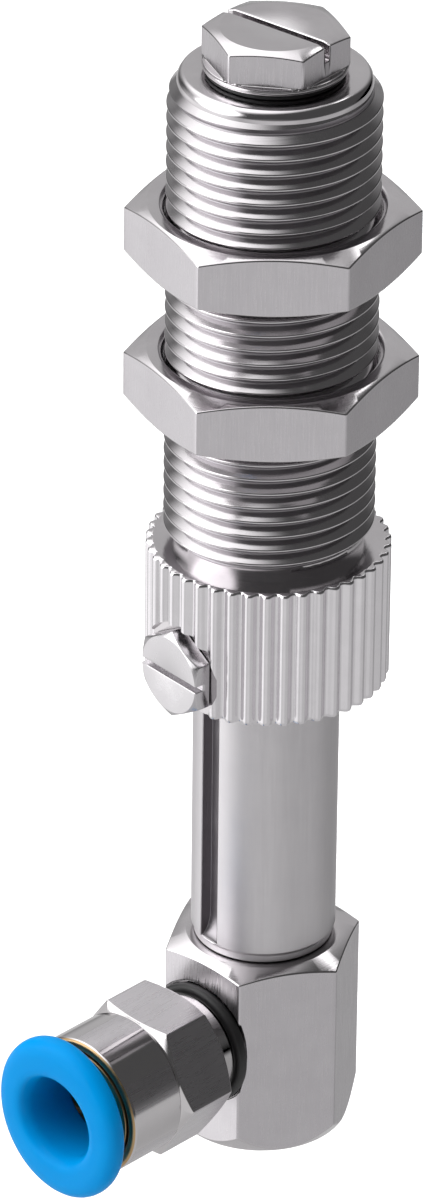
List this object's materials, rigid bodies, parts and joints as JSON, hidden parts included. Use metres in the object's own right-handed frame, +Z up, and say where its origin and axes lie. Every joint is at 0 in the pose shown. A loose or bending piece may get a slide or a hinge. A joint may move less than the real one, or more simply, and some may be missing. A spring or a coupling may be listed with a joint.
{
  "type": "spring-loaded vacuum cup holder",
  "caption": "Threaded bulkhead sleeve with lock nuts, knurled collar and a keyed spring plunger that ends in an elbow block with a push-in tube fitting.",
  "frame": {"origin": "on the sleeve's axis, in the plane of the lower nut's top face, where the bracket rests", "axes": "+Z up the sleeve towards the closing plug, -Y out along the push-in fitting, +X to the right seen from the fitting"},
  "size_m": [0.0266, 0.0424, 0.1169],
  "materials": {
    "nickel_plate": "nickel-plated brass, satin turned and milled faces",
    "steel": "zinc-plated and stainless steel",
    "bronze": "sintered bronze",
    "brass": "bare turned brass",
    "rubber": "black nitrile rubber",
    "urethane": "dark polyurethane",
    "blue_acetal": "moulded acetal, semi-gloss blue"
  },
  "bodies": {
    "sleeve": {"threaded_sleeve": "nickel_plate", "top_plug": "nickel_plate", "plug_seal": "rubber", "key_screw": "steel", "wiper_ring": "rubber", "lower_bush": "bronze", "bumper_washer": "urethane", "compression_spring": "steel"},
    "plunger": {"plunger_tube": "nickel_plate", "guide_piston": "bronze", "piston_circlip": "steel", "tube_root_seal": "rubber", "elbow_block": "nickel_plate", "fitting_body": "nickel_plate", "fitting_seal": "rubber", "hose_seal": "rubber", "grip_ring": "steel", "cartridge_sleeve": "brass"},
    "release_ring": {"release_ring": "blue_acetal"},
    "upper_nut": {"upper_nut": "nickel_plate"},
    "lower_nut": {"lower_nut": "nickel_plate"}
  },
  "joints": [
    {"name": "plunger_slide", "type": "slide", "parent": "sleeve", "child": "plunger", "axis": [0, 0, 1], "range_m": [0, 0.02], "stiffness_N_per_m": 430, "springref_m": -0.01, "deforming": ["compression_spring"]},
    {"name": "release_ring_press", "type": "slide", "parent": "plunger", "child": "release_ring", "axis": [0, 1, 0], "range_m": [0, 0.001], "stiffness_N_per_m": 2000, "springref_m": -0.0005},
    {"name": "upper_nut_travel", "type": "slide", "parent": "sleeve", "child": "upper_nut", "axis": [0, 0, 1], "range_m": [-0.004, 0.008]},
    {"name": "lower_nut_travel", "type": "slide", "parent": "sleeve", "child": "lower_nut", "axis": [0, 0, 1], "range_m": [-0.012, 0.004]}
  ]
}
